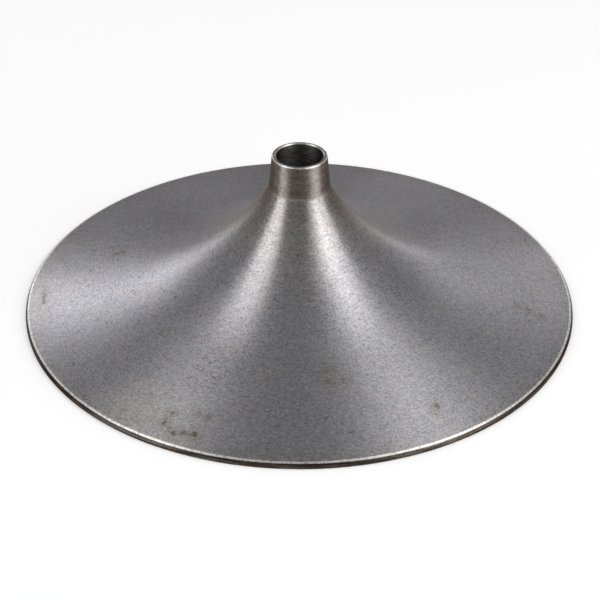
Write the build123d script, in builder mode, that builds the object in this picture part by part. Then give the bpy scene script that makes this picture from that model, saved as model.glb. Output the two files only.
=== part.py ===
from build123d import *
from math import asin, cos, degrees, radians, sin, sqrt, tan
import os

# Cone table leg: a round base spun from one steel plate, with a short collar drawn up at its top.
# Millimetres, +Z up. The origin is where the axis of the cone meets the floor.

# Plate and overall form
disc_diameter = 460.0
overall_height = 138.0
plate_thickness = 5.0
skirt_angle = 12.5  # degrees that the straight outer skirt falls towards the rim
flare_radius = 167.0  # concave sweep of the top face, from the skirt up to the collar

# Collar that takes the post
collar_height = 28.5
collar_lip_diameter = 45.0
collar_foot_diameter = 50.4
post_diameter = 38.1
post_clearance = 0.3  # on the diameter

# Seat and edges
seat_width = 3.0  # flat ring turned under the rim, so that the base sits level
rim_round = 3.4
seat_edge_chamfer = 0.6
lip_round = 1.8
bore_chamfer = 0.9
collar_blend = 9.0  # where the collar runs into the flare, outside
throat_round = 6.0  # where the bore opens into the hollow, inside

# Sizes that follow from those
disc_radius = disc_diameter / 2
bore_radius = (post_diameter + post_clearance) / 2
under_radius = flare_radius + plate_thickness
fall = radians(skirt_angle)
rim_height = plate_thickness / cos(fall) - seat_width * tan(fall)

# Corners of the section, each as (distance from the axis, height)
rim_top = Vector(disc_radius, rim_height)
rim_foot = Vector(disc_radius, 0)
seat_inner = Vector(disc_radius - seat_width, 0)
bore_lip = Vector(bore_radius, overall_height)
collar_lip = Vector(collar_lip_diameter / 2, overall_height)
collar_foot = Vector(collar_foot_diameter / 2, overall_height - collar_height)

# The flare is an arc that leaves the skirt as its tangent and passes through the collar's foot.
# Its underside is an arc about the same centre, one plate thickness further out.
skirt_rise = Vector(-cos(fall), sin(fall))
skirt_normal = Vector(sin(fall), cos(fall))
foot_along_skirt = (collar_foot - rim_top).dot(skirt_rise)
foot_above_skirt = (collar_foot - rim_top).dot(skirt_normal)
skirt_length = foot_along_skirt - sqrt(foot_above_skirt * (2 * flare_radius - foot_above_skirt))
skirt_end = rim_top + skirt_rise * skirt_length
skirt_under_end = skirt_end - skirt_normal * plate_thickness
flare_centre = skirt_end + skirt_normal * flare_radius


def flare_arc(start, radius, reach):
    """Arc about the flare's centre, from the end of the skirt in to a distance from the axis."""
    sweep = asin((flare_centre.X - reach) / radius) - fall
    return JernArc(start, skirt_rise, radius, -degrees(sweep))


# The base is one section, turned about the axis
with BuildPart() as cone_base:
    with BuildSketch(Plane.XZ) as section:
        with BuildLine():
            top_flare = flare_arc(skirt_end, flare_radius, collar_foot.X)
            under_flare = flare_arc(skirt_under_end, under_radius, bore_radius)
            throat = under_flare @ 1
            Polyline(top_flare @ 1, collar_lip, bore_lip, throat)
            Polyline(skirt_under_end, seat_inner, rim_foot, rim_top, skirt_end)
        make_face()
        for corner, radius in (
            (throat, throat_round),
            (collar_foot, collar_blend),
            (collar_lip, lip_round),
            (rim_top, rim_round),
        ):
            fillet(section.vertices().sort_by_distance(corner)[0], radius)
        for corner, length in ((bore_lip, bore_chamfer), (rim_foot, seat_edge_chamfer)):
            chamfer(section.vertices().sort_by_distance(corner)[0], length)
    revolve(axis=Axis.Z)

cone_base.part.label = "cone_base"
os.makedirs("parts", exist_ok=True)
export_step(cone_base.part, "parts/cone_base.step")
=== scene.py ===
from collections import namedtuple
from functools import reduce
from math import atan2, cos, pi, radians, sin, sqrt, tan
from types import SimpleNamespace

import bmesh
import bpy
from mathutils import Matrix, Vector


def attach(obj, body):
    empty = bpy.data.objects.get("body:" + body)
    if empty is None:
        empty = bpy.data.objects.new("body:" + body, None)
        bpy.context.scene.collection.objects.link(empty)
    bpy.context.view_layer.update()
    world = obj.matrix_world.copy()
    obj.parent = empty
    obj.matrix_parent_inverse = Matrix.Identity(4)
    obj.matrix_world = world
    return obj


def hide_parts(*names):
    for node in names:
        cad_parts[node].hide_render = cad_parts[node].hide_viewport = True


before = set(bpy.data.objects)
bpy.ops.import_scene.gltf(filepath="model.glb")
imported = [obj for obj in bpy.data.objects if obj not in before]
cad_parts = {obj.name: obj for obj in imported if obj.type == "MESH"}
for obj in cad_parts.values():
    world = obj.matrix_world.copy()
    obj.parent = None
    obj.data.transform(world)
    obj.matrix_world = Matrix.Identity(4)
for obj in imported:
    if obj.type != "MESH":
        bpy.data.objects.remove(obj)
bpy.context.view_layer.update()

# Cone table leg: a raw steel base spun in one piece, seen on a pale floor under soft studio light.
# Metres, in the frame of the solid model: +Z up, with the origin on the floor under the collar.

# Section of the base, the same values as the solid model's
DISC_RADIUS = 0.230
OVERALL_HEIGHT = 0.138
PLATE = 0.005
SKIRT_FALL = radians(12.5)  # slope of the straight skirt towards the rim
FLARE_RADIUS = 0.167
COLLAR_HEIGHT = 0.0285
LIP_RADIUS = 0.0225
COLLAR_FOOT_RADIUS = 0.0252
BORE_RADIUS = 0.0192
SEAT_WIDTH = 0.003
SEAT_EDGE_CHAMFER = 0.0006
RIM_ROUND = 0.0034
LIP_ROUND = 0.0018
BORE_CHAMFER = 0.0009
COLLAR_BLEND = 0.009
THROAT_ROUND = 0.006
COLLAR_FOOT_HEIGHT = OVERALL_HEIGHT - COLLAR_HEIGHT
SEGMENTS = 384

# Camera, where the rim and the collar's lip in the photograph place it, with its angles in degrees
CAMERA_DISTANCE = 1.4459
CAMERA_ELEVATION = 33.403
CAMERA_PITCH = 33.473
CAMERA_YAW = 0.027
CAMERA_ROLL = 0.142
FOCAL_PIXELS = 1703
IMAGE_PIXELS = 600
SENSOR_MM = 36

# Softboxes: azimuth, elevation, half width and half height, in degrees from the base, and brightness
# Azimuth 270 is the camera's side, and 0 is the right of the picture.
SOFTBOX_DISTANCE = 2.6
SOFTBOXES = {
    "softbox_left": (205, 27, 16.5, 27, 2.08),
    "softbox_left_top": (178, 62, 20, 8, 1.88),
    "softbox_right_side": (345, 27, 12, 27, 1.95),
    "softbox_right": (323, 27, 10, 27, 2.85),
    "softbox_right_far": (15, 30, 15, 18, 0.10),
    "softbox_right_front": (304, 27, 8, 27, 0.90),
    "softbox_right_top": (2, 63, 22, 8, 2.00),
    "softbox_rear_left": (119, 31, 3, 5.5, 5.15),
    "softbox_rear_left_side": (123, 22, 3, 4, 3.00),
    "softbox_rear_left_wide": (112, 29, 7, 10, 0.65),
    "softbox_rear_left_low": (122, 11, 4.5, 7, 1.45),
    "softbox_rear_left_top": (126, 58, 14, 8, 0.55),
    "softbox_rear": (82, 16, 5, 9, 0.35),
    "softbox_rear_right": (64, 29, 2.5, 4.5, 2.30),
    "softbox_rear_right_up": (67, 36, 5, 3.5, 1.10),
    "softbox_rear_right_side": (73, 22, 3, 4, 1.30),
    "softbox_rear_right_in": (57, 22, 3, 4, 0.75),
    "softbox_rear_right_low": (63, 11, 3, 7, 1.80),
    "softbox_rear_right_top": (62, 58, 10, 8, 1.65),
}

# Room and floor: how light they are, and where each turns into the far white
WORLD_GREY = 0.30
FAR_WHITE = 0.94
FLOOR_SIZE = 80
FLOOR_PAPER = 0.80
FLOOR_GLOW = 0.32
FLOOR_FADE = (1.1, 2.1)  # distance from the base
ROOM_FADE = (0.13, 0.02)  # upward share of the line of sight

# Linear colours of the steel
COOL_STEEL = (0.386, 0.387, 0.422)
PLAIN_STEEL = (0.402, 0.392, 0.412)
WARM_STEEL = (0.350, 0.327, 0.316)
BROWN_STEEL = (0.205, 0.180, 0.162)
DARK_BROWN_STEEL = (0.140, 0.113, 0.095)
BORE_STEEL = (0.085, 0.080, 0.079)
UNDER_STEEL = (0.225, 0.216, 0.210)
UNDER_SCALE = (0.160, 0.147, 0.137)
SEAT_STEEL = (0.430, 0.415, 0.400)
# Rim's top edge: worn steel, lightened further as a painted highlight
WORN_HIGHLIGHT_EDGE = (0.95, 0.91, 0.88)
DULL_HIGHLIGHT_EDGE = (0.74, 0.70, 0.67)
# Lip edges: worn steel with a painted highlight
LIP_HIGHLIGHT_EDGE = (0.72, 0.68, 0.65)
LIP_BAND = (0.27, 0.25, 0.24)
RIM_BROWN = (0.105, 0.088, 0.074)
RIM_DARK = (0.042, 0.035, 0.030)
# Brown of the painted shade on the collar and on the flanks of the flare
PAINTED_SHADE_BROWN = (0.118, 0.099, 0.084)
RUST_BROWN = (0.095, 0.075, 0.055)
PIT_GREY = (0.130, 0.122, 0.118)

# Coats over the steel: linear colour, and how far each covers what lies under it
Coat = namedtuple("Coat", "colour cover")
GREEN_DRIFT = Coat((0.384, 0.394, 0.406), 0.40)
WARM_FRONT = Coat((0.404, 0.386, 0.380), 0.30)
WARM_PATCH = Coat((0.475, 0.440, 0.424), 0.55)
WARM_CROWN = Coat(WARM_STEEL, 0.85)
WARM_SKIRT = Coat(WARM_STEEL, 0.35)
RUST_HAZE = Coat((0.290, 0.262, 0.218), 0.50)
RUST = Coat(RUST_BROWN, 0.85)
UNDER_RUST = Coat(RUST_BROWN, 0.60)
FRECKLE = Coat(PIT_GREY, 0.55)
FLECK = Coat((0.105, 0.095, 0.082), 0.70)
PIT = Coat(PIT_GREY, 0.62)
# Painted highlight: lighter bands on the collar where the lights' streaks fall
PAINTED_COLLAR_HIGHLIGHT = Coat((0.365, 0.332, 0.316), 0.75)
# Painted shade: darker on the collar's flanks and its middle, between the highlight bands
PAINTED_COLLAR_SHADE = Coat(PAINTED_SHADE_BROWN, 0.90)
# Painted shade, brown-toned, down the flanks of the upper flare
PAINTED_FLARE_SHADE = Coat(PAINTED_SHADE_BROWN, 0.85)
# Darker towards the bottom of the rim face
RIM_FOOT_DARKENING = Coat((0.012, 0.010, 0.009), 0.80)
BROWNED_FOOT_COVER = 0.15

# Zones of the steel, from where each is gone to where it is full
# By height above the floor
HEIGHT_ZONES = {
    "warm_crown": (COLLAR_FOOT_HEIGHT - 0.0845, COLLAR_FOOT_HEIGHT - 0.0045),
    # The upper flare, where the painted flank shade lies
    "smoked": (COLLAR_FOOT_HEIGHT - 0.0475, COLLAR_FOOT_HEIGHT + 0.0025),
    "collar_foot": (COLLAR_FOOT_HEIGHT - 0.0245, COLLAR_FOOT_HEIGHT + 0.0005),
    "dull_collar": (COLLAR_FOOT_HEIGHT - 0.0005, COLLAR_FOOT_HEIGHT + 0.0055),
    "lip": (OVERALL_HEIGHT - 0.0012, OVERALL_HEIGHT - 0.0009),
    "below_lip": (OVERALL_HEIGHT - 0.0006, OVERALL_HEIGHT - 0.0011),
    "rim_foot": (0.0018, 0.0004),
    "floor_level": (0.0006, 0.0002),
}
# By distance from the axis
DISTANCE_ZONES = {
    "near_crown": (0.120, 0.040),
    "off_collar": (COLLAR_FOOT_RADIUS + 0.0008, COLLAR_FOOT_RADIUS + 0.0088),
    "near_rim": (DISC_RADIUS - 0.025, DISC_RADIUS - 0.004),
    "rim_edge": (DISC_RADIUS - 0.0034, DISC_RADIUS - 0.0030),
    "rim_side": (DISC_RADIUS - 0.0026, DISC_RADIUS - 0.0022),
    "bore_wall": (BORE_RADIUS + 0.0006, BORE_RADIUS + 0.0001),
    "off_bore": (BORE_RADIUS + 0.0007, BORE_RADIUS + 0.0011),
    "inside_lip_round": (LIP_RADIUS - 0.0006, LIP_RADIUS - 0.0010),
}
# By how far the surface faces up
FACING_ZONES = {
    "under": (-0.02, -0.15),
    "steep": (0.87, 0.74),
}
# By the side they are on: degrees away from an azimuth, then each azimuth and its depth
SIDE_ZONES = {
    "front": (55, 15, ((262, 1.0),)),
    # Painted highlight bands on the collar, at the azimuths of the lights' streaks and their mirror
    # images at the back
    "rubbed": (17, 3, ((239, 1.0), (301, 1.0), (118, 1.0), (50, 1.0))),
    # Painted shade on the collar's flanks, and less of it at the front and back
    "sooty": (36, 8, ((270, 0.6), (186, 1.0), (354, 1.0), (84, 0.6))),
    # Painted shade down the flanks of the upper flare, and a little at the front and back
    "smoky": (34, 8, ((270, 0.3), (190, 1.0), (350, 1.0), (162, 1.0), (18, 1.0), (84, 0.3))),
}
# The browned collar, which starts at an uneven height
COLLAR_START = (COLLAR_FOOT_HEIGHT - 0.0030, COLLAR_FOOT_HEIGHT + 0.0050)
COLLAR_START_SWING = 0.0060

# Rust spots where the photograph shows them: x, y, radius, and how far each has darkened
RUST_SPOTS = (
    (-0.2153, -0.0004, 0.0015, 0.6),
    (-0.2150, -0.0060, 0.0013, 0.6),
    (-0.2152, -0.0111, 0.0017, 0.8),
    (-0.2148, -0.0158, 0.0013, 0.8),
    (-0.2144, -0.0202, 0.0017, 0.8),
    (-0.1013, -0.1852, 0.0022, 1.0),
    (-0.0976, -0.1900, 0.0014, 0.8),
    (-0.0946, -0.1961, 0.0027, 1.0),
    (-0.0871, -0.1963, 0.0026, 0.7),
    (-0.0787, -0.1985, 0.0030, 0.9),
    (-0.0828, -0.1976, 0.0018, 0.5),
    (-0.0965, -0.1758, 0.0018, 0.7),
    (-0.0750, -0.1789, 0.0024, 0.3),
    (-0.0681, -0.1824, 0.0028, 0.3),
    (0.0223, -0.1392, 0.0030, 0.3),
    (0.0222, -0.1503, 0.0028, 0.3),
    (0.0361, -0.1466, 0.0026, 0.2),
    (0.0396, -0.1982, 0.0012, 0.6),
    (0.1053, -0.1671, 0.0022, 0.8),
    (0.1040, -0.1753, 0.0013, 0.6),
    (0.1810, -0.0336, 0.0026, 0.3),
    (0.1884, -0.0355, 0.0026, 0.3),
    (0.1904, -0.0405, 0.0014, 0.6),
    (0.1995, -0.0418, 0.0017, 0.8),
    (0.1883, -0.0520, 0.0012, 0.5),
    (-0.1572, 0.0393, 0.0023, 0.8),
    (-0.1521, 0.0401, 0.0016, 0.6),
)
# Edges of a spot and of the haze round it, in radii of the spot
RUST_OUTER, RUST_INNER = 1.25, 0.45
HAZE_OUTER, HAZE_INNER = 4.5, 1.0
HAZE_LEAST_DEPTH = 0.4

# Patches strewn with short dark flecks: x, y, radius, depth
FLECKED = (
    (-0.071, -0.137, 0.032, 1.0),
    (-0.115, -0.117, 0.024, 0.7),
    (-0.163, -0.010, 0.045, 0.7),
    (-0.156, 0.042, 0.030, 0.6),
    (0.179, -0.026, 0.035, 0.6),
    (0.108, -0.160, 0.030, 0.5),
    (0.027, -0.140, 0.024, 0.7),
)
FLECKED_INNER = 0.3
FLECKED_ELSEWHERE = 0.08

# Warm patch by the rim, with the distances where it is gone and where it is full
WARM_PATCH_PLACE = (-0.128, -0.176)
WARM_PATCH_FADE = (0.060, 0.010)

# Pits of two kinds: cells to a metre, share of the cells with a pit, and the widest pit's radius
# That radius and the width over which a pit's edge fades are in widths of a cell.
PIT_KINDS = ((90, 0.35, 0.080), (210, 0.30, 0.115))
PIT_FADE = (0.03, -0.01)

# Even noises: how many features to a metre, and how many finer levels of detail
EVEN_NOISES = {
    "grain": (600, 2),
    "fine_grain": (1900, 2),
    "blotches": (230, 3),
    "clouds": (26, 2),
    "drifts": (60, 3),
    "specks": (430, 3),
    "crumbs": (1000, 2),
}
# Noises drawn out round the axis: pitch across the marks, length along them, levels of detail
TURNED_NOISES = {
    "lines": (0.0007, 0.010, 2),
    "broad_lines": (0.0021, 0.030, 2),
    "scratches": (0.0005, 0.022, 1),
    "flecks": (0.0016, 0.0045, 2),
}
# Noise that makes the outlines of spots and pits ragged, and how far it moves them
RAGGED_NOISE = (330, 2)
RAGGED_REACH = 0.0045

# Levels of a noise between which one look gives way to the next
PLAIN_LEVELS = (0.40, 0.62)
GREEN_LEVELS = (0.50, 0.68)
BROWN_LEVELS = (0.36, 0.64)
WORN_HIGHLIGHT_LEVELS = (0.30, 0.50)
RIM_LEVELS = (0.42, 0.60)
UNDER_LEVELS = (0.30, 0.72)
SCRATCH_LEVELS = (0.66, 0.76)
FLECK_LEVELS = (0.595, 0.665)
FRECKLE_LEVELS = (0.690, 0.735)
CRUMB_LEVELS = (0.36, 0.54)
CRUMB_LEAST = 0.25
FRECKLE_CLOUDING = 0.25
BROWN_BLOTCH_SHARE = 0.4
BROWN_LINE_SHARE = 0.6

# How far the noises lighten and darken the colour
GRAIN_SHADE = 1.35
FINE_GRAIN_SHADE = 0.50
BLOTCH_SHADE = 0.35
CLOUD_SHADE = 0.22
LINE_SHADE = 0.90
LINE_SHARE_ON_SKIRT = 0.50
BORE_LINE_SHADE = 2.0
UNDER_LINE_SHADE = 1.2
SCRATCH_SHADE = 0.30

# The turned lines draw highlights out into streaks, and the steel is duller at grazing angles
METALLIC = 1
ANISOTROPY = 0.81
ANISOTROPY_TURN = 0.25
GRAZING_TINT = (0.48, 0.45, 0.43)

# Roughness of the steel, and what adds to it or takes from it
ROUGHNESS = 0.34
GRAIN_ROUGHNESS = 0.12
LINE_ROUGHNESS = 0.10
RUST_ROUGHNESS = 0.12
COLLAR_ROUGHNESS = 0.12
RIM_ROUGHNESS = 0.12
LIP_ROUGHNESS = -0.02
HIDDEN_ROUGHNESS = 0.10

# Relief: its depth and strength, and how far each kind of mark stands out or is sunk
RELIEF_DEPTH = 0.00012
RELIEF_STRENGTH = 0.35
LINE_RELIEF = 0.6
GRAIN_RELIEF = 0.5
SCRATCH_RELIEF = 0.5
PIT_RELIEF = 0.9


def place_camera():
    """Looks down at the base from the front, at the photograph's height and distance."""
    camera = bpy.data.objects.new("camera", bpy.data.cameras.new("camera"))
    bpy.context.scene.collection.objects.link(camera)
    camera.data.sensor_width = SENSOR_MM
    camera.data.lens = FOCAL_PIXELS / IMAGE_PIXELS * SENSOR_MM
    height = radians(CAMERA_ELEVATION)
    spot = Vector((0, -CAMERA_DISTANCE * cos(height), CAMERA_DISTANCE * sin(height)))
    turn = Matrix.Rotation(radians(-CAMERA_YAW), 4, "Z")
    tilt = Matrix.Rotation(radians(90 - CAMERA_PITCH), 4, "X")
    roll = Matrix.Rotation(radians(CAMERA_ROLL), 4, "Z")
    camera.matrix_world = Matrix.Translation(spot) @ turn @ tilt @ roll
    bpy.context.scene.camera = camera


def place_softbox(name, azimuth, elevation, half_width, half_height, brightness):
    """A plain rectangular light that faces the base."""
    light = bpy.data.lights.new(name, "AREA")
    light.shape = "RECTANGLE"
    light.size = 2 * SOFTBOX_DISTANCE * tan(radians(half_width)) * cos(radians(elevation))
    light.size_y = 2 * SOFTBOX_DISTANCE * tan(radians(half_height))
    light.energy = brightness * pi * light.size * light.size_y
    lamp = bpy.data.objects.new(name, light)
    bpy.context.scene.collection.objects.link(lamp)
    a, e = radians(azimuth), radians(elevation)
    away = Vector((cos(e) * cos(a), cos(e) * sin(a), sin(e)))
    lamp.location = away * SOFTBOX_DISTANCE
    lamp.rotation_euler = away.to_track_quat("Z", "Y").to_euler()


class Nodes:
    """Adds nodes to a shader's tree. Each method gives back what comes out of its last node."""

    def __init__(self, tree):
        self.tree = tree

    def add(self, kind, inputs, output=0, **settings):
        """One node, whose inputs are plain values or come out of other nodes."""
        node = self.tree.nodes.new("ShaderNode" + kind)
        for name, value in settings.items():
            setattr(node, name, value)
        for key, value in inputs.items():
            if isinstance(value, bpy.types.NodeSocket):
                self.tree.links.new(value, node.inputs[key])
            else:
                node.inputs[key].default_value = value
        return node.outputs[output]

    def calculate(self, operation, values):
        """Works through values from the first to the last, two at a time."""
        return reduce(lambda a, b: self.add("Math", {0: a, 1: b}, operation=operation), values)

    def plus(self, *values):
        return self.calculate("ADD", values)

    def less(self, *values):
        return self.calculate("SUBTRACT", values)

    def times(self, *values):
        return self.calculate("MULTIPLY", values)

    def most(self, *values):
        return self.calculate("MAXIMUM", values)

    def ramp(self, value, start, end, low=0.0, high=1.0):
        """Goes smoothly from low to high while a value goes from start to end."""
        ends = {"From Min": start, "From Max": end, "To Min": low, "To Max": high}
        return self.add("MapRange", {"Value": value, **ends}, interpolation_type="SMOOTHSTEP")

    def noise(self, vector, scale, detail, output=0):
        return self.add("TexNoise", {"Vector": vector, "Scale": scale, "Detail": detail}, output)

    def swing(self, value, amount):
        """A noise turned into a change of plus or minus half of the amount."""
        return self.times(self.less(value, 0.5), amount)

    def part(self, vector, axis):
        """One part of a vector: X, Y or Z."""
        return self.add("SeparateXYZ", {0: vector}, axis)

    def vector(self, operation, first, second):
        return self.add("VectorMath", {0: first, 1: second}, operation=operation)

    def scaled(self, vector, factor):
        return self.add("VectorMath", {0: vector, "Scale": factor}, operation="SCALE")

    def length(self, vector):
        return self.add("VectorMath", {0: vector}, "Value", operation="LENGTH")

    def gap(self, plan, x, y):
        """How far a point in plan is from a place."""
        return self.add("VectorMath", {0: plan, 1: (x, y, 0)}, "Value", operation="DISTANCE")

    def blend(self, amount, first, second):
        """The first colour where the amount is none, and the second where it is one."""
        colours = (first, second)
        first, second = (c if isinstance(c, bpy.types.NodeSocket) else (*c, 1) for c in colours)
        return self.add("Mix", {0: amount, 6: first, 7: second}, 2, data_type="RGBA")

    def two_tone(self, noise, levels, first, second):
        """The first colour below the levels of a noise, and the second above them."""
        return self.blend(self.ramp(noise, *levels), first, second)

    def coat(self, face, where, coat):
        """A coat laid over a colour where a mask is."""
        return self.blend(self.times(where, coat.cover), face, coat.colour)


def seen(nodes):
    """One where the camera looks straight at it, or sees it in a reflection or through glass."""
    straight = nodes.add("LightPath", {}, "Is Camera Ray")
    reflected = nodes.add("LightPath", {}, "Is Glossy Ray")
    passed = nodes.add("LightPath", {}, "Is Transmission Ray")
    rays = nodes.plus(straight, reflected)
    return nodes.add("Math", {0: rays, 1: passed}, operation="ADD", use_clamp=True)


def light_world():
    """An even grey room, which turns white low down where it meets the floor."""
    world = bpy.data.worlds.new("studio")
    bpy.context.scene.world = world
    world.use_nodes = True
    nodes = Nodes(world.node_tree)
    up = nodes.part(nodes.add("TexCoord", {}, "Generated"), "Z")
    white = nodes.times(nodes.ramp(up, *ROOM_FADE), seen(nodes))
    tone = nodes.blend(white, (WORLD_GREY,) * 3, (FAR_WHITE,) * 3)
    world.node_tree.links.new(tone, world.node_tree.nodes["Background"].inputs["Color"])


def lay_floor():
    """A wide pale floor. It looks white to the camera and in reflections, and keeps its shadow."""
    bpy.ops.mesh.primitive_plane_add(size=FLOOR_SIZE)
    floor = bpy.context.object
    floor.name = "floor"
    material = bpy.data.materials.new("floor_paper")
    material.use_nodes = True
    tree = material.node_tree
    tree.nodes.clear()
    nodes = Nodes(tree)
    distance = nodes.length(nodes.add("TexCoord", {}, "Object"))
    far = nodes.ramp(distance, *FLOOR_FADE)
    shows = seen(nodes)
    near_glow = nodes.add("Emission", {"Strength": nodes.times(shows, FLOOR_GLOW)})
    far_glow = nodes.add("Emission", {"Strength": nodes.times(shows, FAR_WHITE)})
    paper = nodes.add("BsdfDiffuse", {"Color": (FLOOR_PAPER, FLOOR_PAPER, FLOOR_PAPER, 1)})
    near = nodes.add("AddShader", {0: paper, 1: near_glow})
    surface = nodes.add("MixShader", {0: far, 1: near, 2: far_glow})
    tree.links.new(surface, tree.nodes.new("ShaderNodeOutputMaterial").inputs["Surface"])
    floor.data.materials.append(material)


def polar(angle):
    """The unit vector at an angle."""
    return Vector((cos(angle), sin(angle)))


def run(start, end, steps):
    """Points from start up to, but not with, end."""
    return [start.lerp(end, i / steps) for i in range(steps)]


def arc(centre, start, end, steps):
    """Points on the shorter arc about a centre from start up to, but not with, end."""
    u, v = start - centre, end - centre
    first = atan2(u.y, u.x)
    sweep = atan2(u.x * v.y - u.y * v.x, u.dot(v))
    return [centre + u.length * polar(first + sweep * i / steps) for i in range(steps)]


def foot_on(line_start, line_end, point):
    """Nearest point of a line to a point."""
    along = (line_end - line_start).normalized()
    return line_start + along * (point - line_start).dot(along)


def corner_fillet(before, corner, after, radius):
    """Centre and the two touching points of a round between two straight lines."""
    u, v = (before - corner).normalized(), (after - corner).normalized()
    half = u.angle(v) / 2
    centre = corner + (u + v).normalized() * (radius / sin(half))
    return centre, foot_on(corner, before, centre), foot_on(corner, after, centre)


def line_arc_fillet(line_start, line_end, side, radius, centre, arc_radius):
    """The same between a line and a large arc, with side the line's normal towards the round."""
    along = (line_end - line_start).normalized()
    offset = line_start + side * radius - centre
    reach = arc_radius - radius
    middle = offset.dot(along)
    travel = -middle + sqrt(middle * middle - offset.length_squared + reach * reach)
    spot = line_start + side * radius + along * travel
    return spot, spot - side * radius, centre + (spot - centre).normalized() * arc_radius


def flare_places(rim_top, collar_foot):
    """Where the skirt ends on top and underneath, and the flare's centre.

    The flare is an arc that leaves the skirt as its tangent and passes through the collar's foot."""
    rise = Vector((-cos(SKIRT_FALL), sin(SKIRT_FALL)))
    normal = Vector((sin(SKIRT_FALL), cos(SKIRT_FALL)))
    above = (collar_foot - rim_top).dot(normal)
    length = (collar_foot - rim_top).dot(rise) - sqrt(above * (2 * FLARE_RADIUS - above))
    skirt_end = rim_top + rise * length
    return skirt_end, skirt_end - normal * PLATE, skirt_end + normal * FLARE_RADIUS


def section():
    """Points (distance from the axis, height) once round the section, with the metal on their left."""
    # Seat, rim, skirt and flare
    seat_inner = Vector((DISC_RADIUS - SEAT_WIDTH, 0))
    rim_foot = Vector((DISC_RADIUS, 0))
    rim_top = Vector((DISC_RADIUS, PLATE / cos(SKIRT_FALL) - SEAT_WIDTH * tan(SKIRT_FALL)))
    seat_outer = rim_foot - Vector((SEAT_EDGE_CHAMFER, 0))
    rim_low = rim_foot + Vector((0, SEAT_EDGE_CHAMFER))
    collar_foot = Vector((COLLAR_FOOT_RADIUS, COLLAR_FOOT_HEIGHT))
    skirt_end, under_end, flare_centre = flare_places(rim_top, collar_foot)
    under_radius = FLARE_RADIUS + PLATE

    # Collar, lip and bore
    collar_lip = Vector((LIP_RADIUS, OVERALL_HEIGHT))
    bore_lip = Vector((BORE_RADIUS, OVERALL_HEIGHT))
    lip_flat = bore_lip + Vector((BORE_CHAMFER, 0))
    bore_top = bore_lip - Vector((0, BORE_CHAMFER))
    bore_down = bore_top - Vector((0, COLLAR_HEIGHT))

    # Rounds, each as its centre and its two touching points
    down = (collar_foot - collar_lip).normalized()
    outward = Vector((-down.y, down.x))
    into_wall = Vector((1, 0))
    rim_centre, rim_start, rim_end = corner_fillet(rim_foot, rim_top, skirt_end, RIM_ROUND)
    lip_centre, lip_outer, lip_inner = corner_fillet(collar_foot, collar_lip, bore_lip, LIP_ROUND)
    blend_centre, blend_top, blend_foot = line_arc_fillet(
        collar_lip, collar_foot, outward, COLLAR_BLEND, flare_centre, FLARE_RADIUS
    )
    throat_centre, throat_top, throat_foot = line_arc_fillet(
        bore_top, bore_down, into_wall, THROAT_ROUND, flare_centre, under_radius
    )
    return (
        run(seat_inner, seat_outer, steps=2)
        + run(seat_outer, rim_low, steps=1)
        + run(rim_low, rim_start, steps=2)
        + arc(rim_centre, rim_start, rim_end, steps=12)
        + run(rim_end, skirt_end, steps=28)
        + arc(flare_centre, skirt_end, blend_foot, steps=46)
        + arc(blend_centre, blend_foot, blend_top, steps=6)
        + run(blend_top, lip_outer, steps=10)
        + arc(lip_centre, lip_outer, lip_inner, steps=8)
        + run(lip_inner, lip_flat, steps=1)
        + run(lip_flat, bore_top, steps=2)
        + run(bore_top, throat_top, steps=8)
        + arc(throat_centre, throat_top, throat_foot, steps=8)
        + arc(flare_centre, throat_foot, under_end, steps=36)
        + run(under_end, seat_inner, steps=20)
    )


def turned_mesh(name, points):
    """A closed mesh of the section turned about the axis."""
    mesh = bmesh.new()
    rings = []
    for r, z in points:
        rings.append([
            mesh.verts.new((r * cos(2 * pi * i / SEGMENTS), r * sin(2 * pi * i / SEGMENTS), z))
            for i in range(SEGMENTS)
        ])
    for k, ring in enumerate(rings):
        following = rings[(k + 1) % len(rings)]
        for i in range(SEGMENTS):
            j = (i + 1) % SEGMENTS
            mesh.faces.new((ring[i], ring[j], following[j], following[i]))
    bmesh.ops.recalc_face_normals(mesh, faces=mesh.faces)
    data = bpy.data.meshes.new(name)
    mesh.to_mesh(data)
    mesh.free()
    data.shade_smooth()
    piece = bpy.data.objects.new(name, data)
    bpy.context.scene.collection.objects.link(piece)
    return piece


def find_places(nodes):
    """Where a point is: in space, in plan, above the floor and from the axis, and how it faces."""
    spot = nodes.add("TexCoord", {}, "Object")
    x, y, height = (nodes.part(spot, axis) for axis in "XYZ")
    plan = nodes.add("CombineXYZ", {"X": x, "Y": y})
    distance = nodes.length(plan)
    facing_up = nodes.part(nodes.add("TexCoord", {}, "Normal"), "Z")
    return SimpleNamespace(
        spot=spot, x=x, y=y, height=height, plan=plan, distance=distance, facing_up=facing_up
    )


def turned(nodes, place, pitch, length):
    """Coordinates in which marks lie round the axis: pitch across the marks, length along them."""
    across = nodes.times(nodes.less(place.distance, place.height), 1 / pitch)
    along_x = nodes.times(place.x, 1 / length)
    along_y = nodes.times(place.y, 1 / length)
    return nodes.add("CombineXYZ", {"X": across, "Y": along_x, "Z": along_y})


def spread_noises(nodes, place):
    """The even noises and those drawn out round the axis, by name."""
    noises = {}
    for name, (scale, detail) in EVEN_NOISES.items():
        noises[name] = nodes.noise(place.spot, scale, detail)
    for name, (pitch, length, detail) in TURNED_NOISES.items():
        noises[name] = nodes.noise(turned(nodes, place, pitch, length), 1, detail)
    return SimpleNamespace(**noises)


def side_zone(nodes, plan, gone, full, places):
    """Bands down the sides that face some azimuths, between two angles away from each."""
    direction = nodes.add("VectorMath", {0: plan}, operation="NORMALIZE")
    bands = 0.0
    for azimuth, depth in places:
        towards = (*polar(radians(azimuth)), 0)
        facing = nodes.add("VectorMath", {0: direction, 1: towards}, "Value", operation="DOT_PRODUCT")
        band = nodes.ramp(facing, cos(radians(gone)), cos(radians(full)), 0, depth)
        bands = nodes.most(bands, band)
    return bands


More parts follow.
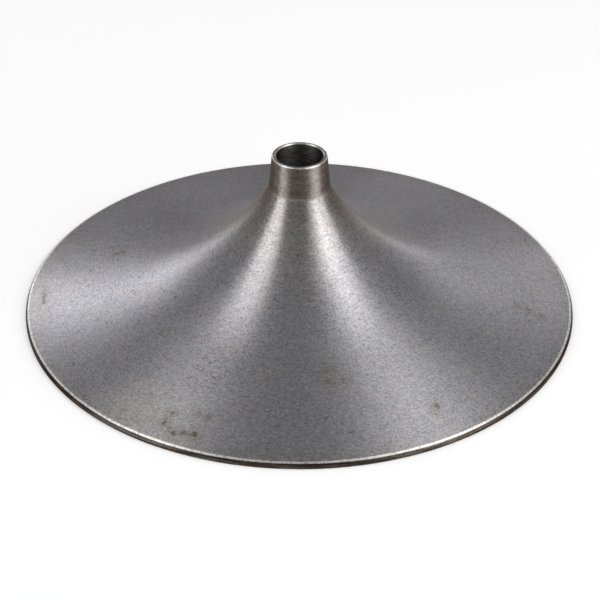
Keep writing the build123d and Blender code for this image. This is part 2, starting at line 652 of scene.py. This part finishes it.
def divide_zones(nodes, place, noise):
    """Masks of the zones of the base, by name."""
    zones = {}
    for value, spans in (
        (place.height, HEIGHT_ZONES),
        (place.distance, DISTANCE_ZONES),
        (place.facing_up, FACING_ZONES),
    ):
        for name, (gone, full) in spans.items():
            zones[name] = nodes.ramp(value, gone, full)
    for name, (gone, full, places) in SIDE_ZONES.items():
        zones[name] = side_zone(nodes, place.plan, gone, full, places)
    zone = SimpleNamespace(**zones)
    collar_level = nodes.plus(place.height, nodes.swing(noise.blotches, COLLAR_START_SWING))
    zone.collar = nodes.ramp(collar_level, *COLLAR_START)
    zone.lip_band = nodes.times(zone.lip, zone.off_bore, zone.inside_lip_round)
    zone.bore = nodes.times(zone.bore_wall, zone.below_lip)
    zone.rim_face = nodes.times(zone.rim_side, zone.steep)
    zone.rim_line = nodes.times(zone.rim_edge, nodes.less(1.0, zone.rim_face))
    zone.seat = nodes.times(zone.under, zone.floor_level)
    return zone


def ragged_plan(nodes, place):
    """The plan view strayed by a noise, which makes outlines that are drawn in it ragged."""
    stray = nodes.noise(place.spot, *RAGGED_NOISE, output="Color")
    stray = nodes.vector("SUBTRACT", stray, (0.5, 0.5, 0.5))
    strayed = nodes.vector("ADD", place.plan, nodes.scaled(stray, RAGGED_REACH))
    return nodes.vector("MULTIPLY", strayed, (1, 1, 0))


def rust_and_haze(nodes, ragged, noise):
    """Crumbly rust spots at their places, and the thin haze round them."""
    rust = 0.0
    haze = 0.0
    for x, y, radius, depth in RUST_SPOTS:
        gap = nodes.gap(ragged, x, y)
        haze_depth = HAZE_LEAST_DEPTH + (1 - HAZE_LEAST_DEPTH) * depth
        spot = nodes.ramp(gap, RUST_OUTER * radius, RUST_INNER * radius, 0.0, depth)
        rust = nodes.most(rust, spot)
        ring = nodes.ramp(gap, HAZE_OUTER * radius, HAZE_INNER * radius, 0.0, haze_depth)
        haze = nodes.most(haze, ring)
    return nodes.times(rust, nodes.ramp(noise.crumbs, *CRUMB_LEVELS, CRUMB_LEAST)), haze


def dark_flecks(nodes, place, noise):
    """Short dark flecks, thick in some patches and thin elsewhere."""
    strewn = FLECKED_ELSEWHERE
    for x, y, radius, depth in FLECKED:
        gap = nodes.gap(place.plan, x, y)
        strewn = nodes.most(strewn, nodes.ramp(gap, radius, FLECKED_INNER * radius, 0.0, depth))
    return nodes.times(nodes.ramp(noise.flecks, *FLECK_LEVELS), strewn)


def single_pits(nodes, ragged, zone):
    """Single pits, each in a cell of its own, in some of the cells only."""
    pits = 0.0
    for cells, share, widest in PIT_KINDS:
        cell = {"Vector": ragged, "Scale": cells}
        gap = nodes.add("TexVoronoi", cell, "Distance", voronoi_dimensions="2D")
        lot = nodes.part(nodes.add("TexVoronoi", cell, "Color", voronoi_dimensions="2D"), "X")
        size = nodes.times(nodes.less(lot, 1 - share), widest / share)
        pits = nodes.most(pits, nodes.ramp(nodes.less(gap, size), *PIT_FADE))
    return nodes.times(pits, zone.off_collar)


def strew_marks(nodes, place, noise, zone):
    """Masks of the single marks: rust and its haze, flecks, freckles, pits, scratches, a warm patch."""
    ragged = ragged_plan(nodes, place)
    rust, haze = rust_and_haze(nodes, ragged, noise)
    clouded_specks = nodes.plus(noise.specks, nodes.swing(noise.clouds, FRECKLE_CLOUDING))
    return SimpleNamespace(
        rust=rust,
        haze=haze,
        flecks=dark_flecks(nodes, place, noise),
        freckles=nodes.ramp(clouded_specks, *FRECKLE_LEVELS),
        pits=single_pits(nodes, ragged, zone),
        scratches=nodes.ramp(noise.scratches, *SCRATCH_LEVELS),
        warm_patch=nodes.ramp(nodes.gap(place.plan, *WARM_PATCH_PLACE), *WARM_PATCH_FADE),
    )


def plain_face(nodes, noise, zone, mark):
    """Mill-grey steel in cool, plain and green drifts, warmer in places, with its marks."""
    face = nodes.two_tone(noise.drifts, PLAIN_LEVELS, COOL_STEEL, PLAIN_STEEL)
    for where, coat in (
        (nodes.ramp(noise.clouds, *GREEN_LEVELS), GREEN_DRIFT),
        (zone.front, WARM_FRONT),
        (mark.warm_patch, WARM_PATCH),
        (zone.warm_crown, WARM_CROWN),
        (zone.near_rim, WARM_SKIRT),
        (mark.haze, RUST_HAZE),
        (mark.freckles, FRECKLE),
        (mark.flecks, FLECK),
        (mark.rust, RUST),
        (mark.pits, PIT),
    ):
        face = nodes.coat(face, where, coat)
    return face


def browned_face(nodes, noise, zone):
    """Heat-browned steel of the collar, mottled, with painted highlight bands and painted shade down
    some sides.
    """
    blotches = nodes.times(noise.blotches, BROWN_BLOTCH_SHARE)
    lines = nodes.times(noise.broad_lines, BROWN_LINE_SHARE)
    face = nodes.two_tone(nodes.plus(blotches, lines), BROWN_LEVELS, DARK_BROWN_STEEL, BROWN_STEEL)
    # Painted highlight: lighter bands where the lights' streaks fall
    face = nodes.coat(face, zone.rubbed, PAINTED_COLLAR_HIGHLIGHT)
    # Painted shade: darker on the collar's flanks and middle
    return nodes.coat(face, zone.sooty, PAINTED_COLLAR_SHADE)


def steel_colour(nodes, noise, zone, mark):
    """Colour all over the base: the top, the collar, the rim, the lip, the bore and the underside."""
    # Top and collar
    browned = browned_face(nodes, noise, zone)
    face = plain_face(nodes, noise, zone, mark)
    face = nodes.blend(nodes.times(zone.collar_foot, BROWNED_FOOT_COVER), face, browned)
    # Painted shade, brown-toned, down the flanks of the upper flare
    face = nodes.coat(face, nodes.times(zone.smoked, zone.smoky), PAINTED_FLARE_SHADE)
    face = nodes.blend(zone.collar, face, browned)

    # Rim, lip and bore. The rim's top edge is worn and carries a painted highlight.
    # Worn rim edge with a painted highlight, brighter and duller in blotches
    rim_line = nodes.two_tone(noise.blotches, WORN_HIGHLIGHT_LEVELS, DULL_HIGHLIGHT_EDGE, WORN_HIGHLIGHT_EDGE)
    rim_face = nodes.two_tone(noise.broad_lines, RIM_LEVELS, RIM_DARK, RIM_BROWN)
    face = nodes.blend(zone.rim_line, face, rim_line)
    face = nodes.blend(zone.rim_face, face, rim_face)
    # Darker towards the bottom of the rim face
    face = nodes.coat(face, nodes.times(zone.rim_face, zone.rim_foot), RIM_FOOT_DARKENING)
    # Worn lip edges with a painted highlight
    face = nodes.blend(zone.lip, face, LIP_HIGHLIGHT_EDGE)
    face = nodes.blend(zone.lip_band, face, LIP_BAND)
    face = nodes.blend(zone.bore, face, BORE_STEEL)

    # Underside and seat
    under = nodes.two_tone(noise.drifts, UNDER_LEVELS, UNDER_STEEL, UNDER_SCALE)
    under = nodes.coat(under, mark.freckles, UNDER_RUST)
    face = nodes.blend(zone.under, face, under)
    return nodes.blend(zone.seat, face, SEAT_STEEL)


def steel_shade(nodes, noise, zone, mark):
    """Factor by which the grain, the lines, the blotches and the scratches change the colour."""
    line_share = nodes.ramp(zone.near_crown, 0, 1, LINE_SHARE_ON_SKIRT, 1.0)
    return nodes.plus(
        1.0,
        nodes.swing(noise.grain, GRAIN_SHADE),
        nodes.swing(noise.fine_grain, FINE_GRAIN_SHADE),
        nodes.swing(noise.blotches, BLOTCH_SHADE),
        nodes.swing(noise.clouds, CLOUD_SHADE),
        nodes.times(nodes.swing(noise.lines, LINE_SHADE), line_share),
        nodes.times(nodes.swing(noise.lines, BORE_LINE_SHADE), zone.bore),
        nodes.times(nodes.swing(noise.broad_lines, UNDER_LINE_SHADE), zone.under),
        nodes.times(mark.scratches, zone.near_crown, SCRATCH_SHADE),
    )


def steel_roughness(nodes, noise, zone, mark):
    """Duller in rust and freckles, on the collar, along the rim, in the bore and underneath."""
    return nodes.plus(
        ROUGHNESS,
        nodes.swing(noise.grain, GRAIN_ROUGHNESS),
        nodes.swing(noise.lines, LINE_ROUGHNESS),
        nodes.times(nodes.most(mark.freckles, mark.rust), RUST_ROUGHNESS),
        nodes.times(zone.dull_collar, COLLAR_ROUGHNESS),
        nodes.times(zone.rim_line, RIM_ROUGHNESS),
        nodes.times(zone.lip, LIP_ROUGHNESS),
        nodes.times(nodes.most(zone.bore, zone.under), HIDDEN_ROUGHNESS),
    )


def steel_relief(nodes, noise, mark):
    """Raised lines, grain and scratches, and sunken pits and rust."""
    raised = nodes.plus(
        nodes.times(noise.lines, LINE_RELIEF),
        nodes.times(noise.grain, GRAIN_RELIEF),
        nodes.times(mark.scratches, SCRATCH_RELIEF),
    )
    height = nodes.less(raised, nodes.times(nodes.most(mark.pits, mark.rust), PIT_RELIEF))
    depths = {"Strength": RELIEF_STRENGTH, "Distance": RELIEF_DEPTH, "Height": height}
    return nodes.add("Bump", depths)


def raw_steel():
    """Satin steel with mottled grain, turned lines, a heat-browned collar with painted highlights and
    shade, worn edges with a painted highlight, and rust.
    """
    material = bpy.data.materials.new("raw_steel")
    material.use_nodes = True
    tree = material.node_tree
    nodes = Nodes(tree)
    place = find_places(nodes)
    noise = spread_noises(nodes, place)
    zone = divide_zones(nodes, place, noise)
    mark = strew_marks(nodes, place, noise, zone)
    colour = steel_colour(nodes, noise, zone, mark)
    shade = steel_shade(nodes, noise, zone, mark)
    steel = tree.nodes["Principled BSDF"]
    steel.inputs["Metallic"].default_value = METALLIC
    steel.inputs["Anisotropic"].default_value = ANISOTROPY
    steel.inputs["Anisotropic Rotation"].default_value = ANISOTROPY_TURN
    steel.inputs["Specular Tint"].default_value = (*GRAZING_TINT, 1)
    tree.links.new(nodes.scaled(colour, shade), steel.inputs["Base Color"])
    tree.links.new(steel_roughness(nodes, noise, zone, mark), steel.inputs["Roughness"])
    tree.links.new(steel_relief(nodes, noise, mark), steel.inputs["Normal"])
    tangent = nodes.add("Tangent", {}, direction_type="RADIAL", axis="Z")
    tree.links.new(tangent, steel.inputs["Tangent"])
    return material


place_camera()
for name, values in SOFTBOXES.items():
    place_softbox(name, *values)
light_world()
lay_floor()
bpy.context.scene.view_settings.view_transform = "Standard"

base = turned_mesh("spun_base", section())
base.data.materials.append(raw_steel())
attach(base, "root")
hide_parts("cone_base")
